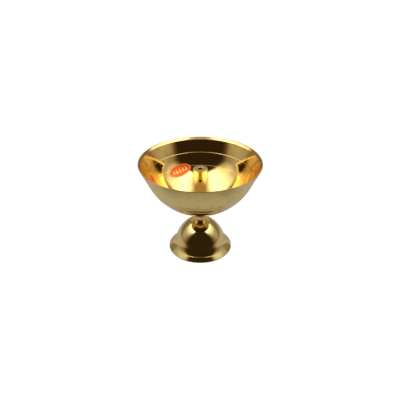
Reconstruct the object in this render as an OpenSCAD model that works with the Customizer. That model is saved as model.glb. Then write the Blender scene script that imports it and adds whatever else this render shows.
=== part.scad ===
// Brass diya oil lamp: a spun bowl on a turned collar and a bell-shaped foot, held together by one
// clamp screw from underneath. A tubular wick pillar screws down over the end of that screw, onto a
// seal, and unscrews again for cleaning.
// Millimetres, +Z up, origin at the centre of the foot's base circle.

/* [Bowl] */
// Outside diameter at the rim
bowl_rim_d = 90; // [80:1:105]
// Height from the seat on the collar to the top of the rim
bowl_depth = 38.6; // [34:0.2:41]
// Outside radius of the spherical lower part, which runs tangent into the straight flare
bowl_curve_r = 42; // [38:0.5:44]
// Sheet thickness
bowl_wall = 1.3; // [0.8:0.1:2]
// Diameter of the flat pressed seat at the bottom
bowl_seat_d = 12; // [10:0.5:14]
// How far the land cut on the rim slopes down towards the inside
rim_land_drop = 1.5; // [0.5:0.1:2]
// Edge break on the outside of the rim
rim_edge_break = 0.25; // [0.1:0.05:0.4]

/* [Foot] */
// Diameter of the base circle
foot_d = 48.6; // [46:0.2:60]
// Height of the foot, up to its crown
foot_h = 23.2; // [20:0.2:28]
// Wall thickness of the casting
foot_wall = 1.3; // [1:0.1:1.8]
// Height of the upright edge of the base lip
foot_lip_h = 0.65; // [0.4:0.05:1]
// Diameter of the flat on the crown
crown_flat_d = 12.6; // [11.6:0.2:15]
// Radius that rounds the crown into the dome
crown_edge_r = 4; // [3:0.25:5]
// Radius of the dome's side
dome_r = 25.5; // [24:0.5:40]
// Diameter where the dome turns into the flared skirt
shoulder_d = 37.4; // [36:0.2:38.4]
// Height of that turn
shoulder_h = 8.5; // [7.6:0.1:9.4]
// Diameter of the ring line where the skirt meets the base lip
ring_line_d = 43; // [42:0.1:44]
// Height of that ring line
ring_line_h = 3.6; // [3:0.1:4.2]
// Width of the ring line's groove
ring_line_w = 0.5; // [0.3:0.05:0.8]
// Depth of the ring line's groove
ring_line_depth = 0.2; // [0.1:0.05:0.3]

/* [Neck collar] */
// Diameter of the short waist on the foot's crown
collar_waist_d = 8.8; // [8:0.2:10]
// Height of the waist
collar_waist_h = 2.1; // [1.4:0.1:3]
// Diameter of the bead
collar_bead_d = 13; // [11.6:0.2:16]
// Height of the bead
collar_bead_h = 5.6; // [4.6:0.1:8]
// Rounding of the bead's lower edge
collar_bead_low_r = 2; // [1:0.1:2.2]
// Rounding of the bead's upper edge
collar_bead_top_r = 1.2; // [0.5:0.1:1.8]
// Diameter of the neck above the bead
collar_neck_d = 8.6; // [8:0.2:10]
// Height of the neck, up to the bowl
collar_neck_h = 3.5; // [2:0.1:6]

/* [Wick pillar] */
// Height of the pillar above its seal
pillar_h = 30.8; // [27:0.2:36]
// Diameter of the top disc
pillar_disc_d = 10.6; // [9.8:0.2:13]
// Thickness of the disc's edge
pillar_disc_edge = 0.5; // [0.3:0.1:1]
// Diameter of the column just under the cove
pillar_head_d = 9.6; // [9:0.1:9.8]
// Diameter of the column from halfway down to the base
pillar_column_d = 8.5; // [8:0.1:9]
// Height of the concave cove under the disc
pillar_cove_h = 2.4; // [1.6:0.1:3.5]
// Length over which the column swells towards the cove
pillar_taper_h = 12; // [8:1:15]
// Diameter of the base flange
pillar_flange_d = 13; // [12:0.2:13.6]
// Thickness of the base flange
pillar_flange_h = 2; // [1.4:0.1:3]
// Diameter of the wick hole
wick_hole_d = 3.4; // [2.6:0.1:4.4]
// Depth of the wick hole
wick_hole_depth = 8.8; // [6:0.1:12]
// Diameter of the cross hole that lets oil reach the wick
oil_hole_d = 2; // [1.4:0.1:2.4]

/* [Fastening] */
// Screw thread diameter
screw_d = 5; // [4:0.5:5]
// Thread pitch
screw_pitch = 0.8; // [0.7:0.05:0.8]
// Length of the screw under its head
screw_l = 20; // [19.6:0.2:20.6]
// Screw head diameter
screw_head_d = 9.2; // [8.6:0.1:9.6]
// Screw head height
screw_head_h = 2.6; // [2:0.1:3.2]
// Width of the driver slot
screw_slot_w = 1.2; // [0.8:0.1:1.6]
// Depth of the driver slot
screw_slot_depth = 1.3; // [0.8:0.1:1.6]
// Radial clearance of the screw in the holes that it passes through
screw_hole_clearance = 0.2; // [0.1:0.05:0.35]
// Radial clearance between the screw and the pillar's thread
thread_clearance = 0.05; // [0.02:0.01:0.08]
// Screw washer diameter
washer_d = 10; // [9.6:0.1:10.6]
// Screw washer thickness
washer_t = 0.8; // [0.6:0.1:1.2]
// Gap round the seal on the bowl's flat floor
seal_floor_gap = 0.4; // [0.2:0.1:1]
// Seal thickness
seal_t = 0.8; // [0.6:0.1:1]

/* [Label] */
// Length of the oval foil label
label_l = 20; // [12:0.5:24]
// Width of the label
label_w = 9.5; // [7:0.5:13]
// Thickness of the label
label_t = 0.12; // [0.08:0.01:0.2]
// Direction of the label's centre, round the bowl from +X
label_azimuth = 120; // [0:5:355]
// How far up the bowl's curve the label's centre is, as an angle from the bottom
label_climb = 52.5; // [40:0.5:58]
// How far the label is turned from level, right-hand end up
label_tilt = 8; // [-20:1:20]
// Thickness of its glue
label_glue = 0.02; // [0.01:0.01:0.05]

/* [Hidden] */
$fn = 96;
// Facets of an arc in an outline
arc_steps = 20;
// How far a cutter runs past what it cuts
past = 0.5;

// Heights of the stack
crown_under_z = foot_h - foot_wall;
screw_head_z = crown_under_z - washer_t;
seat_z = foot_h + collar_waist_h + collar_bead_h + collar_neck_h;
rim_z = seat_z + bowl_depth;
seal_z = seat_z + bowl_wall;
pillar_z = seal_z + seal_t;
pillar_top_z = pillar_z + pillar_h;
screw_end_z = screw_head_z + screw_l;

// Bores that clear the screw, and the pillar's own thread
screw_hole_r = screw_d / 2 + screw_hole_clearance;
thread_r = screw_d / 2 + thread_clearance;
// The pillar's threaded hole goes on past the end of the screw
thread_runout = 1.2;

// Bowl: sphere through the edge of the seat, with the flare tangent to it and through the rim
bowl_rim_r = bowl_rim_d / 2;
bowl_centre = [0, seat_z + sqrt(bowl_curve_r * bowl_curve_r - pow(bowl_seat_d / 2, 2))];
rim_reach = norm([bowl_rim_r, rim_z - bowl_centre.y]);
bowl_flare_start = atan2(rim_z - bowl_centre.y, bowl_rim_r) - acos(bowl_curve_r / rim_reach);
bowl_inner_r = bowl_curve_r - bowl_wall;
bowl_seat_angle = -asin((bowl_centre.y - seat_z) / bowl_curve_r);
bowl_floor_angle = -asin((bowl_centre.y - seal_z) / bowl_inner_r);
bowl_floor_r = bowl_inner_r * cos(bowl_floor_angle);

// Unit vector at an angle, and the points of an arc
function polar(a) = [cos(a), sin(a)];
function arc(c, r, from, to) = [for (i = [0 : arc_steps]) c + r * polar(from + (to - from) * i / arc_steps)];
function angle_of(v) = atan2(v.y, v.x);

// Where two circles cross, on the side nearer the axis and lower down
function circles_meet(a, ra, b, rb) =
  let (d = norm(b - a), along = (ra * ra - rb * rb + d * d) / (2 * d))
  let (u = (b - a) / d, side = sqrt(ra * ra - along * along))
  a + along * u + side * [u.y, -u.x];

// Foot: crown rounding, dome, flared skirt and base lip are tangent arcs, so a wall of even
// thickness has the same centres
crown_c = [crown_flat_d / 2, foot_h - crown_edge_r];
shoulder = [shoulder_d / 2, shoulder_h];
dome_c = circles_meet(crown_c, dome_r - crown_edge_r, shoulder, dome_r);
ring_line = [ring_line_d / 2, ring_line_h];
shoulder_out = (shoulder - dome_c) / dome_r;
skirt_chord = ring_line - shoulder;
skirt_r = (skirt_chord * skirt_chord) / (2 * (skirt_chord * shoulder_out));
skirt_c = shoulder + skirt_r * shoulder_out;
lip_top = [foot_d / 2, foot_lip_h];
lip_run = (lip_top - ring_line) / norm(lip_top - ring_line);
lip_out = [-lip_run.y, lip_run.x];
crown_turn = angle_of(crown_c - dome_c);
shoulder_turn = angle_of(shoulder_out);
skirt_end_turn = angle_of(ring_line - skirt_c) + 360;

// Outline of the foot's surface, moved inwards by the depth given
function foot_outline(depth) = concat(
  arc(crown_c, crown_edge_r - depth, 90, crown_turn),
  arc(dome_c, dome_r - depth, crown_turn, shoulder_turn),
  arc(skirt_c, skirt_r + depth, shoulder_turn + 180, skirt_end_turn));

// Bowl: sheet metal spun to a sphere with a straight flare, and a sloping land turned on the rim
module bowl() {
  flare = polar(bowl_flare_start + 90);
  outside = polar(bowl_flare_start);
  land_in = bowl_rim_r - bowl_wall / outside.x - rim_land_drop * flare.x / flare.y;
  color("goldenrod")
  rotate_extrude() polygon(concat(
    [[screw_hole_r, seat_z]],
    arc(bowl_centre, bowl_curve_r, bowl_seat_angle, bowl_flare_start),
    [[bowl_rim_r - rim_edge_break * flare.x, rim_z - rim_edge_break * flare.y],
     [bowl_rim_r - rim_edge_break, rim_z],
     [land_in, rim_z - rim_land_drop]],
    arc(bowl_centre, bowl_inner_r, bowl_flare_start, bowl_floor_angle),
    [[screw_hole_r, seal_z]]));
}

// Foot: thin bell with a flat crown, open underneath, with one ring line above its base lip
module foot() {
  groove = [ring_line + lip_run * ring_line_w / 2 - lip_out * ring_line_depth,
    ring_line + lip_run * ring_line_w];
  lip_under = ring_line - lip_out * foot_wall;
  inner = foot_outline(foot_wall);
  color("darkgoldenrod")
  rotate_extrude() polygon(concat(
    [[screw_hole_r, foot_h]],
    foot_outline(0),
    groove,
    [lip_top, [foot_d / 2, 0]],
    [lip_under - lip_run * lip_under.y / lip_run.y, lip_under],
    [for (i = [len(inner) - 1 : -1 : 0]) inner[i]],
    [[screw_hole_r, crown_under_z]]));
}

// Neck collar: turned spacer with a rounded bead between two narrow necks
module neck_collar() {
  bead_z = foot_h + collar_waist_h;
  bead_top_z = bead_z + collar_bead_h;
  bead_r = collar_bead_d / 2;
  color("goldenrod")
  rotate_extrude() polygon(concat(
    [[screw_hole_r, foot_h], [collar_waist_d / 2, foot_h], [collar_waist_d / 2, bead_z]],
    arc([bead_r - collar_bead_low_r, bead_z + collar_bead_low_r], collar_bead_low_r, -90, 0),
    arc([bead_r - collar_bead_top_r, bead_top_z - collar_bead_top_r], collar_bead_top_r, 0, 90),
    [[collar_neck_d / 2, bead_top_z], [collar_neck_d / 2, seat_z], [screw_hole_r, seat_z]]));
}

// Wick pillar: turned bar with a flange, a disc on top, a wick hole, a cross hole that lets the
// oil in at the bottom of the wick hole, and a blind thread that the clamp screw fills
module wick_pillar() {
  head_r = pillar_head_d / 2;
  disc_r = pillar_disc_d / 2;
  column_r = pillar_column_d / 2;
  disc_under_z = pillar_top_z - pillar_disc_edge;
  cove_z = disc_under_z - pillar_cove_h;
  wick_hole_z = pillar_top_z - wick_hole_depth;
  color("gold")
  difference() {
    rotate_extrude() polygon(concat(
      [[0, pillar_z], [pillar_flange_d / 2, pillar_z]],
      [[pillar_flange_d / 2, pillar_z + pillar_flange_h], [column_r, pillar_z + pillar_flange_h]],
      [[column_r, cove_z - pillar_taper_h], [head_r, cove_z]],
      [for (i = [1 : arc_steps]) [head_r + (disc_r - head_r) * (1 - cos(90 * i / arc_steps)),
        cove_z + pillar_cove_h * sin(90 * i / arc_steps)]],
      [[disc_r, pillar_top_z], [0, pillar_top_z]]));
    translate([0, 0, wick_hole_z]) cylinder(d = wick_hole_d, h = wick_hole_depth + past);
    translate([0, 0, wick_hole_z + oil_hole_d / 2]) rotate([90, 0, 0])
      cylinder(d = oil_hole_d, h = pillar_flange_d, center = true);
    translate([0, 0, pillar_z - past])
      cylinder(r = thread_r, h = screw_end_z + thread_runout - pillar_z + past);
  }
}

// Flat ring on the axis
module ring(outer_r, z, t) {
  translate([0, 0, z]) difference() {
    cylinder(r = outer_r, h = t);
    translate([0, 0, -past]) cylinder(r = screw_hole_r, h = t + 2 * past);
  }
}

// Seal: rubber ring that keeps the oil in, carried up by the pillar's flange
module seal_washer() {
  color("dimgray") ring(bowl_floor_r - seal_floor_gap, seal_z, seal_t);
}

// Screw washer: plain steel ring under the crown
module screw_washer() {
  color("silver") ring(washer_d / 2, screw_head_z, washer_t);
}

// Clamp screw: slotted pan head machine screw, driven from inside the foot
module clamp_screw() {
  head_edge_r = screw_head_h / 2;
  end_chamfer = screw_pitch / 2;
  color("silver")
  difference() {
    rotate_extrude() polygon(concat(
      [[0, screw_head_z - screw_head_h]],
      arc([screw_head_d / 2 - head_edge_r, screw_head_z - screw_head_h + head_edge_r],
        head_edge_r, -90, 0),
      [[screw_head_d / 2, screw_head_z], [screw_d / 2, screw_head_z]],
      [[screw_d / 2, screw_end_z - end_chamfer], [screw_d / 2 - end_chamfer, screw_end_z]],
      [[0, screw_end_z]]));
    translate([-screw_head_d / 2, -screw_slot_w / 2, screw_head_z - screw_head_h - past])
      cube([screw_head_d, screw_slot_w, screw_slot_depth + past]);
  }
}

// Label: oval foil sticker that follows the inside of the bowl, its long axis round the bowl
module label() {
  face_r = bowl_inner_r - label_glue;
  color("orangered")
  translate([0, 0, bowl_centre.y]) intersection() {
    difference() {
      sphere(r = face_r);
      sphere(r = face_r - label_t);
    }
    rotate([0, 0, label_azimuth]) rotate([0, 180 - label_climb, 0]) rotate([0, 0, -label_tilt])
      linear_extrude(height = bowl_curve_r)
        polygon([for (i = [0 : $fn - 1])
          [label_w / 2 * cos(360 * i / $fn), label_l / 2 * sin(360 * i / $fn)]]);
  }
}

bowl();
foot();
neck_collar();
wick_pillar();
seal_washer();
clamp_screw();
screw_washer();
label();
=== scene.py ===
# Brass diya oil lamp: a flared bowl on a collar and a bell foot, with a wick pillar in the middle.
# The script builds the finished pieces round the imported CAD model, from the ground up.
import math

import bpy
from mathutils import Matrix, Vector


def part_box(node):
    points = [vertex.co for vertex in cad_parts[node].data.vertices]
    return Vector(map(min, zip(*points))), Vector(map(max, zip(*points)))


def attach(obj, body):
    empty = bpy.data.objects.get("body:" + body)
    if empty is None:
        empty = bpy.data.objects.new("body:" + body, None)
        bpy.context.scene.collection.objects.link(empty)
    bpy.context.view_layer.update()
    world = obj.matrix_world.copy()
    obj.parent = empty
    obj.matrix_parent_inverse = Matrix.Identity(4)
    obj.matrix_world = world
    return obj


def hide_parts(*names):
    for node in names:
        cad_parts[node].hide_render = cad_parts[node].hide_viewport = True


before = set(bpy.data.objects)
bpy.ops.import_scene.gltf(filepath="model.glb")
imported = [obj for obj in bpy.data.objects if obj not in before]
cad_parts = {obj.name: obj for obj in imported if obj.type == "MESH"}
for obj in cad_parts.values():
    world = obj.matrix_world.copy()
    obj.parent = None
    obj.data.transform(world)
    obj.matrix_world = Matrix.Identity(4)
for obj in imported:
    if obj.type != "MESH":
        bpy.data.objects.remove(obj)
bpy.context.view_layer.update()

# ---- Foot -----------------------------------------------------------------------------------------
# A thin bell of cast brass, turned and then buffed bright, with one ring line cut above its base lip.
# It stands on the edge of the lip. The clamp screw pulls its crown up against the neck collar.
MM = 0.001
TURNED_SIDES = 256
WELD = 0.002 * MM


def toward(angle):
    """Unit vector at an angle in degrees, as (outwards, up)."""
    return Vector((math.cos(math.radians(angle)), math.sin(math.radians(angle))))


def degrees_of(v):
    return math.degrees(math.atan2(v.y, v.x))


def arc(centre, radius, start, stop, steps=24):
    """Points of an arc, from one angle to another."""
    return [Vector(centre) + radius * toward(start + (stop - start) * i / steps) for i in range(steps + 1)]


def circles_meet(a, radius_a, b, radius_b):
    """Where two circles cross, on the side nearer the axis."""
    gap = b - a
    along = (radius_a ** 2 - radius_b ** 2 + gap.length_squared) / (2 * gap.length)
    side = math.sqrt(radius_a ** 2 - along ** 2)
    u = gap.normalized()
    return a + along * u + side * Vector((u.y, -u.x))


def groove(start, stop, depth):
    """A V line between two points of an outline, cut to the right of the way from one to the other."""
    run = (stop - start).normalized()
    return [start, (start + stop) / 2 + depth * Vector((run.y, -run.x)), stop]


def corners(*points):
    """An outline of (r, z) points. One that has a radius as well, (r, z, radius), is rounded by it."""
    done = []
    for i, point in enumerate(points):
        corner = Vector(point[:2])
        if len(point) < 3:
            done.append(corner)
            continue
        back = (Vector(points[i - 1][:2]) - corner).normalized()
        ahead = (Vector(points[(i + 1) % len(points)][:2]) - corner).normalized()
        half = back.angle(ahead) / 2
        centre = corner + (back + ahead).normalized() * point[2] / math.sin(half)
        start = degrees_of(corner + back * point[2] / math.tan(half) - centre)
        stop = degrees_of(corner + ahead * point[2] / math.tan(half) - centre)
        done += arc(centre, point[2], start, start + (stop - start + 180) % 360 - 180, 12)
    return done


def draw(name, outline, closed=True):
    """Draws an outline, in millimetres, by extruding one point from step to step."""
    bpy.ops.object.select_all(action="DESELECT")
    r, z = outline[0]
    bpy.ops.mesh.primitive_plane_add(size=MM, location=(0, 0, 0))
    piece = bpy.context.object
    piece.name = piece.data.name = name
    bpy.ops.object.mode_set(mode="EDIT")
    bpy.ops.mesh.select_all(action="SELECT")
    bpy.ops.mesh.merge(type="CENTER")
    bpy.ops.transform.translate(value=(r * MM, 0, z * MM))
    for next_r, next_z in list(outline[1:]) + ([outline[0]] if closed else []):
        step = ((next_r - r) * MM, 0, (next_z - z) * MM)
        bpy.ops.mesh.extrude_region_move(TRANSFORM_OT_translate={"value": step})
        r, z = next_r, next_z
    bpy.ops.mesh.select_all(action="SELECT")
    bpy.ops.mesh.remove_doubles(threshold=WELD)
    bpy.ops.object.mode_set(mode="OBJECT")
    return piece


def smooth(piece, angle=14):
    """Shades a piece smooth, and leaves its edges crisp."""
    bpy.ops.object.select_all(action="DESELECT")
    piece.select_set(True)
    bpy.context.view_layer.objects.active = piece
    bpy.ops.object.shade_smooth_by_angle(angle=math.radians(angle))


def turn(name, outline, closed=True):
    """Turns a piece on the lathe: its outline is spun about the lamp's axis."""
    piece = draw(name, outline, closed)
    bpy.ops.object.mode_set(mode="EDIT")
    bpy.ops.mesh.select_all(action="SELECT")
    bpy.ops.mesh.spin(steps=TURNED_SIDES, angle=math.tau, center=(0, 0, 0), axis=(0, 0, 1))
    bpy.ops.mesh.select_all(action="SELECT")
    bpy.ops.mesh.remove_doubles(threshold=WELD)
    bpy.ops.mesh.normals_make_consistent(inside=False)
    bpy.ops.object.mode_set(mode="OBJECT")
    smooth(piece)
    return piece


def paint(code):
    """An sRGB hex colour as a linear colour with alpha."""
    parts = [int(code[i:i + 2], 16) / 255 for i in (0, 2, 4)]
    return (*[c / 12.92 if c <= 0.04045 else ((c + 0.055) / 1.055) ** 2.4 for c in parts], 1)


def add(tree, kind, inputs=None, **settings):
    """Adds a node. Each input is a constant, or the output of another node, which is linked."""
    node = tree.nodes.new("ShaderNode" + kind)
    for key, value in settings.items():
        setattr(node, key, value)
    for key, value in (inputs or {}).items():
        if isinstance(value, bpy.types.NodeSocket):
            tree.links.new(value, node.inputs[key])
        else:
            node.inputs[key].default_value = value
    return node


def lathe_place(tree):
    """The place on a turned surface as (distance from the axis, height, a little of the way across),
    so that a pattern on it makes rings, which are never quite even on real work."""
    place = add(tree, "TexCoord").outputs["Object"]
    xyz = add(tree, "SeparateXYZ", {0: place})
    flat = add(tree, "CombineXYZ", {0: xyz.outputs["X"], 1: xyz.outputs["Y"]}).outputs[0]
    reach = add(tree, "VectorMath", {0: flat}, operation="LENGTH").outputs["Value"]
    drift = add(tree, "Math", {0: xyz.outputs["X"], 1: 0.02}, operation="MULTIPLY").outputs[0]
    return add(tree, "CombineXYZ", {0: reach, 1: xyz.outputs["Z"], 2: drift}).outputs[0]


def brass(name, colour, tarnish, roughness, spread, ring_pitch, ring_depth, wave_depth, grain=0.0):
    """Yellow brass, two parts of copper to one of zinc, cut on a lathe. Rings show where the tool fed
    along, slow waves show where the metal gave under it, and handling leaves it duller in patches.
    Sizes are in millimetres."""
    material = bpy.data.materials.new(name)
    material.use_nodes = True
    tree = material.node_tree
    shader = tree.nodes["Principled BSDF"]
    shader.inputs["Metallic"].default_value = 1
    shader.inputs["Anisotropic"].default_value = grain
    place = add(tree, "TexCoord").outputs["Object"]
    rings = add(tree, "TexNoise", {"Vector": lathe_place(tree), "Scale": 1 / (ring_pitch * MM), "Detail": 2})
    wave = add(tree, "TexNoise", {"Vector": place, "Scale": 1 / (9 * MM), "Detail": 1})
    cloud = add(tree, "TexNoise", {"Vector": place, "Scale": 1 / (6 * MM), "Detail": 5, "Roughness": 0.62})
    stain = add(tree, "MapRange", {"Value": cloud.outputs["Fac"], "From Min": 0.5, "From Max": 0.72})
    tone = add(tree, "Mix", {"Factor": stain.outputs[0], 6: paint(colour), 7: paint(tarnish)},
               data_type="RGBA")
    uneven = rings if grain else cloud
    dull = add(tree, "MapRange", {"Value": uneven.outputs["Fac"], "From Min": 0.3, "From Max": 0.75,
                                  "To Min": roughness - spread, "To Max": roughness + spread})
    low = add(tree, "Bump", {"Height": wave.outputs["Fac"], "Distance": wave_depth * MM})
    fine = add(tree, "Bump", {"Height": rings.outputs["Fac"], "Distance": ring_depth * MM,
                              "Normal": low.outputs[0]})
    tree.links.new(tone.outputs[2], shader.inputs["Base Color"])
    tree.links.new(dull.outputs[0], shader.inputs["Roughness"])
    tree.links.new(fine.outputs[0], shader.inputs["Normal"])
    if grain:
        tangent = add(tree, "Tangent", direction_type="RADIAL", axis="Z")
        tree.links.new(tangent.outputs[0], shader.inputs["Tangent"])
    return material


foot_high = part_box("foot")[1]
foot_r, foot_top, foot_wall = foot_high.x / MM, foot_high.z / MM, 1.3
crown_r, dome_r = 4, 25.5
crown_centre = Vector((6.3, foot_top - crown_r))
shoulder, ring_line, lip = Vector((18.7, 8.5)), Vector((21.5, 3.6)), Vector((foot_r, 0.65))
dome_centre = circles_meet(crown_centre, dome_r - crown_r, shoulder, dome_r)
shoulder_out = (shoulder - dome_centre).normalized()
skirt = ring_line - shoulder
skirt_r = skirt.length_squared / (2 * skirt.dot(shoulder_out))
skirt_centre = shoulder + skirt_r * shoulder_out
crown_turn, shoulder_turn = degrees_of(crown_centre - dome_centre), degrees_of(shoulder_out)
skirt_end = degrees_of(ring_line - skirt_centre) + 360
lip_run = (lip - ring_line).normalized()
lip_under = ring_line - foot_wall * Vector((-lip_run.y, lip_run.x))
ring_line_w, ring_line_depth = 0.5, 0.2
lip_edge_r = 0.25
screw_hole_r = 2.7


def bell(depth):
    """Outline of the bell from crown to ring line, moved inwards by the depth given."""
    return (arc(crown_centre, crown_r - depth, 90, crown_turn)
            + arc(dome_centre, dome_r - depth, crown_turn, shoulder_turn, 56)[1:]
            + arc(skirt_centre, skirt_r + depth, shoulder_turn + 180, skirt_end)[1:])


foot = turn("foot_bell", corners(
    (screw_hole_r, foot_top, 0.15),
    *bell(0)[:-1],
    *groove(ring_line, ring_line + ring_line_w * lip_run, ring_line_depth),
    (*lip, lip_edge_r),
    (foot_r, 0, lip_edge_r),
    lip_under - lip_run * lip_under.y / lip_run.y,
    *bell(foot_wall)[::-1],
    (screw_hole_r, foot_top - foot_wall, 0.15)))
# Buffed brass: a sharp, bright reflection, only slightly broken up by the turning under it
foot.data.materials.append(brass("buffed_cast_brass", "F0D790", "DFC07A", 0.085, 0.012, 0.5, 0.0008, 0.003))
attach(foot, "lamp")
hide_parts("foot")

# ---- Neck collar ------------------------------------------------------------------------------------
# A turned brass spacer with one rounded bead, pinched between the foot's crown and the bowl.
# It is bored through for the clamp screw.
collar_low, collar_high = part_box("neck_collar")
collar_base, collar_top = collar_low.z / MM, collar_high.z / MM
waist_r, neck_r, bead_r = 4.4, 4.3, collar_high.x / MM
bead_low, bead_high = collar_base + 2.1, collar_top - 3.5
collar = turn("neck_collar_turned", corners(
    (screw_hole_r, collar_base),
    (waist_r, collar_base),
    (waist_r, bead_low, 0.5),
    (bead_r, bead_low, 2),
    (bead_r, bead_high, 1.2),
    (neck_r, bead_high, 0.5),
    (neck_r, collar_top),
    (screw_hole_r, collar_top)))
# Fine-turned brass, not buffed: the reflection is soft
collar.data.materials.append(brass("fine_turned_brass", "EBCB86", "CBA25A", 0.2, 0.05, 0.4, 0.001, 0.004))
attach(collar, "lamp")
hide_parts("neck_collar")

# ---- Bowl -------------------------------------------------------------------------------------------
# Sheet brass spun over a former into part of a sphere with a straight flare. A sloping land is turned
# on the rim, and two fine circles are scribed inside. The outside keeps the satin of the lathe's emery
# cloth, and the inside is polished.
bowl_low, bowl_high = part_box("bowl")
seat_z, rim_z = bowl_low.z / MM, bowl_high.z / MM
rim_r, seat_r, curve_r, bowl_wall, land_drop, rim_break = 45, 6, 42, 1.3, 1.5, 0.25
inner_r = curve_r - bowl_wall
floor_z = seat_z + bowl_wall
bowl_centre = Vector((0, seat_z + math.sqrt(curve_r ** 2 - seat_r ** 2)))
rim_reach = Vector((rim_r, rim_z - bowl_centre.y))
flare_turn = degrees_of(rim_reach) - math.degrees(math.acos(curve_r / rim_reach.length))
flare_out, flare_run = toward(flare_turn), toward(flare_turn + 90)
seat_turn = -math.degrees(math.asin((bowl_centre.y - seat_z) / curve_r))
floor_turn = -math.degrees(math.asin((bowl_centre.y - floor_z) / inner_r))
rim = Vector((rim_r, rim_z))
land_in = rim + Vector((-bowl_wall / flare_out.x - land_drop * flare_run.x / flare_run.y, -land_drop))
# The land is worn almost level along its outer edge, and its inner edge is chamfered
worn_w, worn_slope, chamfer_w, chamfer_slope = 0.6, 8, 0.4, 41
worn_in = rim + Vector((-rim_break - worn_w, -worn_w * math.tan(math.radians(worn_slope))))
chamfer_top = land_in + chamfer_w * Vector((1, math.tan(math.radians(chamfer_slope))))
flare_start = bowl_centre + inner_r * flare_out
outer_lines, outer_line_w, outer_line_depth = (52.4, 54.9), 0.5, 0.08
scribed_high, scribed_low, scribed_w, scribed_depth = 62.4, 53.2, 0.3, 0.07


def on_flare(height):
    """Point on the inside of the flare at a height."""
    return flare_start + flare_run * (height - flare_start.y) / flare_run.y


def lined_curve(radius, start, stop, heights, width, depth, steps=80):
    """Arc of the bowl's curve with a V line cut in it at each height. Depth is to the right."""
    points = arc(bowl_centre, radius, start, stop, steps)
    way = 1 if stop > start else -1
    for height in heights:
        middle = -math.degrees(math.asin((bowl_centre.y - height) / radius))
        half = way * math.degrees(width / 2 / radius)
        line = groove(*[bowl_centre + radius * toward(middle + side * half) for side in (-1, 1)], depth)
        points = ([p for p in points if (p.y - line[0].y) * way < 0] + line
                  + [p for p in points if (p.y - line[2].y) * way > 0])
    return points


bowl = turn("bowl_spun", corners(
    (screw_hole_r, seat_z),
    *lined_curve(curve_r, seat_turn, flare_turn, outer_lines, outer_line_w, -outer_line_depth),
    (*(rim - rim_break * flare_run), 0.08),
    (rim_r - rim_break, rim_z, 0.08),
    worn_in,
    chamfer_top,
    (*land_in, 0.1),
    *groove(on_flare(scribed_high + scribed_w / 2), on_flare(scribed_high - scribed_w / 2), -scribed_depth),
    *lined_curve(inner_r, flare_turn, floor_turn, [scribed_low], scribed_w, -scribed_depth),
    (screw_hole_r, floor_z)))
# Satin: emery leaves fine scratches round the bowl, so light spreads up and down more than sideways
bowl.data.materials.append(brass("emery_satin_brass", "EED48C", "DFC27A", 0.3, 0.03, 0.9, 0.006, 0.003, 0.4))
# Polished: a mirror that shows the studio and the lamp itself, with a slight ripple from the spinning
bowl.data.materials.append(brass("polished_spun_brass", "F1CC7C", "DDB362", 0.09, 0.03, 0.6, 0.0012, 0.02))
for face in bowl.data.polygons:
    x, y, z = face.center / MM
    across = math.hypot(x, y)
    faces_in = face.normal.x * x + face.normal.y * y < 0
    on_land_or_floor = face.normal.z > 0.5
    below_lines = z < outer_lines[0] - outer_line_w / 2
    face.material_index = int(across > screw_hole_r + 0.01 and (faces_in or on_land_or_floor or below_lines))
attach(bowl, "lamp")
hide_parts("bowl")

# ---- Clamp screw and its washer -----------------------------------------------------------------------
# A slotted M5 x 20 pan head machine screw of zinc-plated steel, driven up from inside the foot, with a
# plain stamped washer under its head. The wick pillar screws down over its end.
screw_low, screw_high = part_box("clamp_screw")
washer_low, washer_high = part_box("screw_washer")
head_low_z, head_z, screw_end = screw_low.z / MM, washer_low.z / MM, screw_high.z / MM
head_r, shank_r, root_r, pitch = screw_high.x / MM, 2.5, 2.08, 0.8
slot_w, slot_depth = 1.2, 1.3
thread_from = head_z + 1.6
flank_h, crest_h = 0.3, 0.1
thread_bite = 0.15


def apply_all(piece):
    """Applies a piece's modifiers in order."""
    bpy.ops.object.select_all(action="DESELECT")
    piece.select_set(True)
    bpy.context.view_layer.objects.active = piece
    for modifier in list(piece.modifiers):
        bpy.ops.object.modifier_apply(modifier=modifier.name)


def cut_with(piece, tool, operation="DIFFERENCE"):
    """Cuts a piece with another solid, or joins the two, and takes the tool away."""
    step = piece.modifiers.new("cut", "BOOLEAN")
    step.operation, step.solver, step.object = operation, "EXACT", tool
    apply_all(piece)
    bpy.data.objects.remove(tool, do_unlink=True)


screw = turn("clamp_screw_slotted", corners(
    (0, head_low_z),
    (head_r, head_low_z, 1.3),
    (head_r, head_z, 0.1),
    (shank_r, head_z, 0.1),
    (shank_r, thread_from),
    (root_r, thread_from + flank_h),
    (root_r, screw_end - 0.2),
    (root_r - 0.3, screw_end),
    (0, screw_end)), closed=False)
# The thread is a V wound up the shank, closed at both ends and made one with the shank
thread = draw("thread", [
    (root_r - thread_bite, thread_from - thread_bite),
    (shank_r, thread_from + flank_h),
    (shank_r, thread_from + flank_h + crest_h),
    (root_r - thread_bite, thread_from + 2 * flank_h + crest_h + thread_bite)])
wind = thread.modifiers.new("wind", "SCREW")
wind.steps = wind.render_steps = 64
wind.screw_offset = pitch * MM
wind.iterations = int((screw_end - thread_from) / pitch) - 1
apply_all(thread)
bpy.ops.object.mode_set(mode="EDIT")
bpy.ops.mesh.select_all(action="SELECT")
bpy.ops.mesh.remove_doubles(threshold=WELD)
bpy.ops.mesh.fill_holes(sides=8)
bpy.ops.mesh.select_all(action="SELECT")
bpy.ops.mesh.normals_make_consistent(inside=False)
bpy.ops.object.mode_set(mode="OBJECT")
cut_with(screw, thread, "UNION")
bpy.ops.mesh.primitive_cube_add(size=1, location=(0, 0, (head_low_z + slot_depth / 2 - 0.5) * MM),
                                scale=(2.2 * head_r * MM, slot_w * MM, (slot_depth + 1) * MM))
cut_with(screw, bpy.context.object)
smooth(screw, 30)
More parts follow.
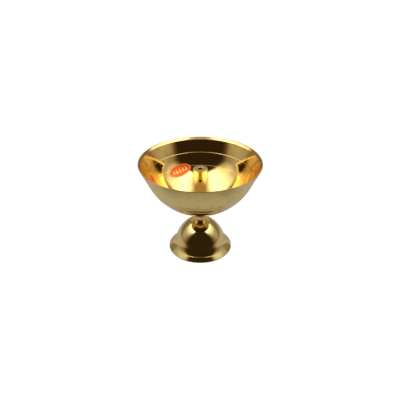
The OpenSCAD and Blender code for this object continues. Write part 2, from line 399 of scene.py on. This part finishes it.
washer = turn("screw_washer_stamped", corners(
    (screw_hole_r, head_z), (washer_high.x / MM, head_z, 0.1), (washer_high.x / MM, washer_high.z / MM, 0.25),
    (screw_hole_r, washer_high.z / MM)))
smooth(washer)

# Bright zinc plate on steel: a cool grey metal with a faint yellow to blue cast of its passivation
zinc = bpy.data.materials.new("bright_zinc_plated_steel")
zinc.use_nodes = True
tree = zinc.node_tree
shader = tree.nodes["Principled BSDF"]
shader.inputs["Metallic"].default_value = 1
place = add(tree, "TexCoord").outputs["Object"]
spangle = add(tree, "TexNoise", {"Vector": place, "Scale": 1 / (1.6 * MM), "Detail": 4})
cast = add(tree, "Mix", {"Factor": spangle.outputs["Fac"], 6: paint("C9C6B4"), 7: paint("B9C0C6")},
           data_type="RGBA")
dull = add(tree, "MapRange", {"Value": spangle.outputs["Fac"], "To Min": 0.2, "To Max": 0.42})
pits = add(tree, "Bump", {"Height": spangle.outputs["Fac"], "Distance": 0.01 * MM})
tree.links.new(cast.outputs[2], shader.inputs["Base Color"])
tree.links.new(dull.outputs[0], shader.inputs["Roughness"])
tree.links.new(pits.outputs[0], shader.inputs["Normal"])
for piece, node in ((screw, "clamp_screw"), (washer, "screw_washer")):
    piece.data.materials.clear()
    piece.data.materials.append(zinc)
    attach(piece, "lamp")
    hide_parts(node)

# ---- Seal washer --------------------------------------------------------------------------------------
# A flat ring of black nitrile rubber, which keeps the oil from running down the screw. It sticks to the
# pillar's flange.
seal_low, seal_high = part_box("seal_washer")
seal_r, seal_base, seal_top = seal_high.x / MM, seal_low.z / MM, seal_high.z / MM
seal = turn("seal_washer_rubber", corners(
    (screw_hole_r, seal_base, 0.1), (seal_r, seal_base, 0.2), (seal_r, seal_top, 0.2),
    (screw_hole_r, seal_top, 0.1)))
# Moulded rubber: near black and matt, a little grey where dust and old oil have dried on it
rubber = bpy.data.materials.new("moulded_nitrile_rubber")
rubber.use_nodes = True
tree = rubber.node_tree
shader = tree.nodes["Principled BSDF"]
place = add(tree, "TexCoord").outputs["Object"]
dust = add(tree, "TexNoise", {"Vector": place, "Scale": 1 / (1.2 * MM), "Detail": 5})
tone = add(tree, "Mix", {"Factor": dust.outputs["Fac"], 6: paint("1B1A19"), 7: paint("35322E")},
           data_type="RGBA")
dull = add(tree, "MapRange", {"Value": dust.outputs["Fac"], "To Min": 0.45, "To Max": 0.8})
skin = add(tree, "Bump", {"Height": dust.outputs["Fac"], "Distance": 0.03 * MM})
tree.links.new(tone.outputs[2], shader.inputs["Base Color"])
tree.links.new(dull.outputs[0], shader.inputs["Roughness"])
tree.links.new(skin.outputs[0], shader.inputs["Normal"])
seal.data.materials.append(rubber)
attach(seal, "seal")
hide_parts("seal_washer")

# ---- Wick pillar --------------------------------------------------------------------------------------
# Turned from brass bar: a flange to grip when it is unscrewed, a column that swells to a cove, and a
# thin disc on top. The wick hole is drilled down from the disc, a cross hole lets the oil in at its
# foot, and a blind thread underneath takes the clamp screw.
pillar_low, pillar_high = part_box("wick_pillar")
flange_r, pillar_base, pillar_top = pillar_high.x / MM, pillar_low.z / MM, pillar_high.z / MM
disc_r, disc_edge, cove_h, cove_r, column_r, taper_h, flange_h = 5.3, 0.5, 2.4, 4.8, 4.25, 12, 2
wick_r, wick_depth, oil_r, bore_r = 1.7, 8.8, 1.0, 2.55
bore_end = screw_end + 1.2
cove_z = pillar_top - disc_edge - cove_h
cove = [(cove_r + (disc_r - cove_r) * (1 - math.cos(math.radians(a))),
         cove_z + cove_h * math.sin(math.radians(a))) for a in range(6, 90, 6)]
pillar = turn("wick_pillar_turned", corners(
    (0, bore_end + 1),
    (bore_r, bore_end),
    (bore_r, pillar_base, 0.2),
    (flange_r, pillar_base, 0.2),
    (flange_r, pillar_base + flange_h, 0.4),
    (column_r, pillar_base + flange_h, 0.4),
    (column_r, cove_z - taper_h),
    (cove_r, cove_z, 0.3),
    *cove,
    (disc_r, pillar_top - disc_edge, 0.08),
    (disc_r, pillar_top, 0.15),
    (wick_r, pillar_top, 0.2),
    (wick_r, pillar_top - wick_depth),
    (0, pillar_top - wick_depth - 0.8)), closed=False)
bpy.ops.mesh.primitive_cylinder_add(vertices=64, radius=oil_r * MM, depth=3 * column_r * MM,
                                    location=(0, 0, (pillar_top - wick_depth + oil_r) * MM),
                                    rotation=(math.radians(90), 0, 0))
cut_with(pillar, bpy.context.object)
smooth(pillar, 30)
pillar.data.materials.clear()
# Bright turned brass: a mirror with the faint rings of the finishing cut
pillar.data.materials.append(brass("bright_turned_brass", "F0D08A", "D8AC5C", 0.1, 0.03, 0.35, 0.0008, 0.003))
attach(pillar, "pillar")
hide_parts("wick_pillar")

# ---- Label --------------------------------------------------------------------------------------------
# An oval maker's sticker of printed foil on the inside of the bowl, glued by hand and drawn lying flat
# on the wall. It carries a plain border and a row of flames.
label_l, label_w, label_t, label_glue = 20, 9.5, 0.12, 0.02
label_climb, label_azimuth, label_tilt = 52.5, 120, 8
label_r = inner_r - label_glue - label_t
bpy.ops.object.select_all(action="DESELECT")
bpy.ops.mesh.primitive_circle_add(vertices=96, radius=1, fill_type="NGON")
label = bpy.context.object
label.name = label.data.name = "foil_label"
bpy.ops.object.mode_set(mode="EDIT")
bpy.ops.mesh.select_all(action="SELECT")
for ring in range(9):
    bpy.ops.mesh.inset(thickness=0.1)
bpy.ops.mesh.select_all(action="SELECT")
bpy.ops.transform.resize(value=(label_l / 2 * MM, label_w / 2 * MM, 1))
bpy.ops.object.mode_set(mode="OBJECT")
# The print is laid out on the flat label, one unit to the millimetre
print_map = label.data.uv_layers.new(name="print")
for loop in label.data.loops:
    x, y, z = label.data.vertices[loop.vertex_index].co / MM
    print_map.data[loop.index].uv = (x, y)
bpy.ops.object.mode_set(mode="EDIT")
bpy.ops.mesh.select_all(action="SELECT")
bpy.ops.transform.rotate(value=-math.radians(label_tilt), orient_axis="Z", center_override=(0, 0, 0))
bpy.ops.transform.translate(value=(0, 0, -label_r * MM))
bpy.ops.transform.rotate(value=-math.radians(label_climb), orient_axis="X", center_override=(0, 0, 0))
bpy.ops.transform.rotate(value=-math.radians(label_azimuth - 90), orient_axis="Z", center_override=(0, 0, 0))
bpy.ops.object.mode_set(mode="OBJECT")
press = label.modifiers.new("press", "CAST")
press.cast_type, press.factor, press.size, press.use_radius_as_size = "SPHERE", 1, label_r * MM, False
thick = label.modifiers.new("thick", "SOLIDIFY")
thick.thickness, thick.offset = label_t * MM, -1
apply_all(label)
bpy.ops.object.mode_set(mode="EDIT")
bpy.ops.mesh.select_all(action="SELECT")
bpy.ops.transform.translate(value=(0, 0, bowl_centre.y * MM))
bpy.ops.object.mode_set(mode="OBJECT")
smooth(label, 30)


def maths(tree, operation, a, b=0.0):
    return add(tree, "Math", {0: a, 1: b}, operation=operation).outputs[0]


def step_up(tree, value, low, high):
    """Rises smoothly from 0 to 1 as a value goes from low to high."""
    return add(tree, "MapRange", {"Value": value, "From Min": low, "From Max": high},
               interpolation_type="SMOOTHSTEP").outputs[0]


# Printed foil: orange lacquer over bright foil, with a pale gold border and five flames in yellow. The
# lacquer is rubbed a little thin in places
foil = bpy.data.materials.new("printed_foil")
foil.use_nodes = True
tree = foil.node_tree
shader = tree.nodes["Principled BSDF"]
shader.inputs["Metallic"].default_value = 0.6
border_from, border_to = 0.89, 0.95
flame_pitch, flame_r, flame_reach = 2.9, 1.0, 7.2
flame_taper, flame_slimness, flame_squat = 0.35, 1.1, 0.55
uv = add(tree, "SeparateXYZ", {0: add(tree, "UVMap", uv_map="print").outputs[0]})
u, v = uv.outputs["X"], uv.outputs["Y"]
oval = add(tree, "CombineXYZ", {0: maths(tree, "DIVIDE", u, label_l / 2),
                                1: maths(tree, "DIVIDE", v, label_w / 2)})
rank = add(tree, "VectorMath", {0: oval.outputs[0]}, operation="LENGTH").outputs["Value"]
on_border = maths(tree, "MULTIPLY", step_up(tree, rank, border_from - 0.01, border_from + 0.01),
                  step_up(tree, rank, border_to + 0.01, border_to - 0.01))
# A flame is a disc drawn out upwards, repeated along the row
from_flame = maths(tree, "PINGPONG", maths(tree, "ADD", u, 5 * flame_pitch), flame_pitch / 2)
narrowing = maths(tree, "ADD", maths(tree, "MULTIPLY", v, flame_taper), flame_slimness)
aside = maths(tree, "MULTIPLY", from_flame, narrowing)
flame = add(tree, "CombineXYZ", {0: aside, 1: maths(tree, "MULTIPLY", v, flame_squat)}).outputs[0]
in_flame = add(tree, "VectorMath", {0: flame}, operation="LENGTH").outputs["Value"]
on_flame = maths(tree, "MULTIPLY", step_up(tree, in_flame, flame_r + 0.08, flame_r - 0.08),
                 maths(tree, "LESS_THAN", maths(tree, "ABSOLUTE", u), flame_reach))
place = add(tree, "TexCoord").outputs["Object"]
rub = add(tree, "TexNoise", {"Vector": place, "Scale": 1 / (0.9 * MM), "Detail": 3})
thin = add(tree, "MapRange", {"Value": rub.outputs["Fac"], "From Min": 0.45, "From Max": 0.75}).outputs[0]
orange, rubbed_orange, flame_yellow, border_gold = map(paint, ("F4561A", "FF7426", "FFB648", "F0B868"))
lacquer = add(tree, "Mix", {"Factor": thin, 6: orange, 7: rubbed_orange}, data_type="RGBA").outputs[2]
with_flames = add(tree, "Mix", {"Factor": on_flame, 6: lacquer, 7: flame_yellow}, data_type="RGBA").outputs[2]
print_tone = add(tree, "Mix", {"Factor": on_border, 6: with_flames, 7: border_gold},
                 data_type="RGBA").outputs[2]
dull = add(tree, "MapRange", {"Value": rub.outputs["Fac"], "To Min": 0.25, "To Max": 0.45})
tree.links.new(print_tone, shader.inputs["Base Color"])
tree.links.new(dull.outputs[0], shader.inputs["Roughness"])
label.data.materials.append(foil)
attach(label, "lamp")
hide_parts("label")

# ---- Floor, light and camera ----------------------------------------------------------------------------
# The lamp stands on a plain pale floor under an arch of white cloth lit from outside, which is open to
# the front: there the room is dark. The arch is drawn as a glow on a large sphere. The camera sees floor
# and background as plain white. Reflections see the floor as a dimmer glow with painted shade on it:
# a painted shadow close round the lamp, and painted shade towards the front.
WARM_DARK = (1.0, 0.64, 0.27, 1)
painted_front_shade_level, dark_room, shown_white = 0.035, 0.03, 1.1
tent_r, tent_z = 0.5, 0.03


def blend(tree, share, a, b):
    return add(tree, "Mix", {"Factor": share, "A": a, "B": b}).outputs[0]


def levels(tree, value, *stops):
    """A curve through (value, level) stops."""
    low, high = stops[0][0], stops[-1][0]
    share = add(tree, "MapRange", {"Value": value, "From Min": low, "From Max": high}).outputs[0]
    curve = add(tree, "ValToRGB", {0: share})
    ramp = curve.color_ramp
    while len(ramp.elements) < len(stops):
        ramp.elements.new(1)
    for element, (at, level) in zip(ramp.elements, stops):
        element.position = (at - low) / (high - low)
        element.color = (level, level, level, 1)
    return curve.outputs[0]


def round_from_front(tree, x, y):
    """How far a direction or a place is round from the front, in degrees, positive to the right."""
    return maths(tree, "MULTIPLY", maths(tree, "ARCTAN2", x, maths(tree, "MULTIPLY", y, -1.0)), 180 / math.pi)


def lit(tree, level):
    """The colour of a part of the studio's glow: neutral where it is bright, and a warm brown where dark. On
    the floor this warm brown tints its painted shade.
    """
    return add(tree, "Mix", {"Factor": step_up(tree, level, 0.05, 0.5), 6: WARM_DARK, 7: (1, 1, 1, 1)},
               data_type="RGBA").outputs[2]


bpy.ops.object.select_all(action="DESELECT")
bpy.ops.mesh.primitive_plane_add(size=4)
floor = bpy.context.object
floor.name = floor.data.name = "floor"
paper = bpy.data.materials.new("pale_paper_with_painted_shade")
paper.use_nodes = True
tree = paper.node_tree
tree.nodes.remove(tree.nodes["Principled BSDF"])
place = add(tree, "TexCoord").outputs["Object"]
xyz = add(tree, "SeparateXYZ", {0: place})
reach = add(tree, "VectorMath", {0: place}, operation="LENGTH").outputs["Value"]
off_front = maths(tree, "ABSOLUTE", round_from_front(tree, xyz.outputs["X"], xyz.outputs["Y"]))
# Painted shadow and shade: for reflections the floor's glow is dimmer close round the lamp, as if shaded by
# it, and almost black towards the front beyond about 6 cm
floor_glow_painted_shadow = levels(tree, reach, (0.02, 0.3), (0.03, 0.4), (0.045, 0.5), (0.15, 0.48))
painted_front_shade_share = maths(tree, "MULTIPLY", step_up(tree, reach, 0.06, 0.072), step_up(tree, off_front, 80, 45))
level = blend(tree, painted_front_shade_share, floor_glow_painted_shadow, painted_front_shade_level)
camera_ray = add(tree, "LightPath").outputs["Is Camera Ray"]
# Painted shade: in reflections the floor's dim glow is tinted warm brown
shown = add(tree, "Mix", {"Factor": camera_ray, 6: lit(tree, level), 7: (1, 1, 1, 1)}, data_type="RGBA")
strength = blend(tree, camera_ray, level, shown_white)
light = add(tree, "Emission", {"Color": shown.outputs[2], "Strength": strength})
from_below = add(tree, "NewGeometry").outputs["Backfacing"]
through = add(tree, "BsdfTransparent")
one_sided = add(tree, "MixShader", {0: from_below, 1: light.outputs[0], 2: through.outputs[0]})
tree.links.new(one_sided.outputs[0], tree.nodes["Material Output"].inputs["Surface"])
floor.data.materials.append(paper)

bpy.ops.object.select_all(action="DESELECT")
bpy.ops.mesh.primitive_ico_sphere_add(subdivisions=5, radius=tent_r, location=(0, 0, tent_z))
tent = bpy.context.object
tent.name = tent.data.name = "light_tent"
tent.visible_camera = False
glow = bpy.data.materials.new("lit_cloth")
glow.use_nodes = True
tree = glow.node_tree
tree.nodes.remove(tree.nodes["Principled BSDF"])
xyz = add(tree, "SeparateXYZ", {0: add(tree, "TexCoord").outputs["Object"]})
x, y, z = xyz.outputs["X"], xyz.outputs["Y"], xyz.outputs["Z"]
# The arch runs from front to back over the lamp. A place on it is so far down its side, in degrees
# from the top, and so far along it, in arch radii
down = maths(tree, "MULTIPLY", maths(tree, "ABSOLUTE", maths(tree, "ARCTAN2", x, z)), 180 / math.pi)
across = add(tree, "CombineXYZ", {0: x, 1: z}).outputs[0]
along = maths(tree, "DIVIDE", y, add(tree, "VectorMath", {0: across}, operation="LENGTH").outputs["Value"])
front_edge = levels(tree, down, (0, 0.52), (40, 0.5), (55, 0.4), (90, 0.33))
front_soft = levels(tree, down, (0, 0.04), (30, 0.07), (55, 0.22), (90, 0.34))
past_front = maths(tree, "ADD", along, front_edge)
under_arch = levels(tree, maths(tree, "DIVIDE", past_front, front_soft),
                    (-1.2, 0), (-0.6, 0.1), (0, 0.5), (1, 1))
back_edge = levels(tree, down, (0, 0.9), (30, 0.6), (45, 0.5), (60, 0.4), (90, 0.3))
behind = step_up(tree, maths(tree, "SUBTRACT", along, back_edge), -0.15, 0.15)
# One soft lamp on each side lights the cloth from outside, so it is brightest high up on both sides,
# dimmer along its top and fading towards the floor
cloth = levels(tree, down, (6, 0.5), (12, 0.8), (17, 2.0), (25, 3.2), (36, 2.6), (46, 1.6), (60, 0.9),
               (68, 0.5), (90, 0.35))
back = levels(tree, down, (0, 0.4), (30, 0.35), (50, 0.26))
level = blend(tree, behind, blend(tree, under_arch, dark_room, cloth), back)
light = add(tree, "Emission", {"Color": lit(tree, level), "Strength": level})
tree.links.new(light.outputs[0], tree.nodes["Material Output"].inputs["Surface"])
tent.data.materials.append(glow)

world = bpy.data.worlds.new("plain_background")
bpy.context.scene.world = world
world.use_nodes = True
world.node_tree.nodes["Background"].inputs["Color"].default_value = (1, 1, 1, 1)
world.node_tree.nodes["Background"].inputs["Strength"].default_value = shown_white

bpy.ops.object.camera_add(location=(-0.0002, -0.3203, 0.2304), rotation=(math.radians(59.38), 0, 0))
camera = bpy.context.object
camera.name = "camera"
camera.data.lens = 44.58
camera.data.sensor_width = 36
camera.data.clip_start = 0.01
bpy.context.scene.camera = camera
bpy.context.scene.view_settings.view_transform = "Standard"
bpy.context.scene.cycles.glossy_bounces = 12
